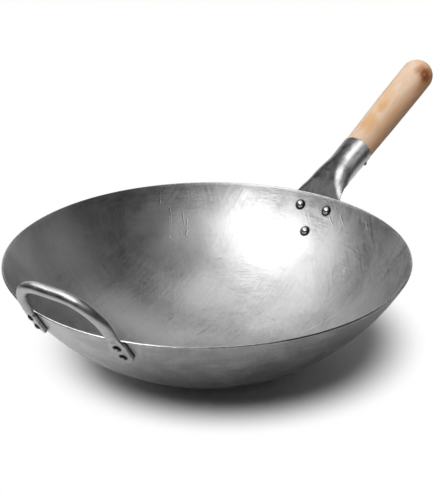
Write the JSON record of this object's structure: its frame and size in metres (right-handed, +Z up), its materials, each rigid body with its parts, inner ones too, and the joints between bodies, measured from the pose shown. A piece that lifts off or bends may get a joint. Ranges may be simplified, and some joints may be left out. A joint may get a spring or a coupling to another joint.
{
  "type": "wok",
  "caption": "Dished steel wok with a small flat spot, a riveted sheet-metal socket handle holding a turned wooden grip, and a bent-bar helper handle opposite.",
  "frame": {"origin": "middle of the flat spot that the bowl stands on", "axes": "+X along the long handle, away from the bowl; +Z up, out of the bowl"},
  "size_m": [0.5779, 0.3556, 0.1939],
  "materials": {
    "bowl_steel": "polished in swirls, unseasoned",
    "socket_steel": "bright pressed sheet",
    "grip_wood": "turned and waxed, pale with tan patches",
    "nail_steel": "dark",
    "handle_rivet_steel": "bright domed heads",
    "helper_steel": "bright forged bar",
    "helper_rivet_steel": "bright domed heads"
  },
  "bodies": {
    "root": {"bowl": "bowl_steel", "handle_socket": "socket_steel", "wood_grip": "grip_wood", "grip_nail": "nail_steel", "handle_rivet_left": "handle_rivet_steel", "handle_rivet_right": "handle_rivet_steel", "handle_rivet_lower": "handle_rivet_steel", "helper_handle": "helper_steel", "helper_rivet_left_upper": "helper_rivet_steel", "helper_rivet_left_lower": "helper_rivet_steel", "helper_rivet_right_upper": "helper_rivet_steel", "helper_rivet_right_lower": "helper_rivet_steel"}
  },
  "joints": []
}
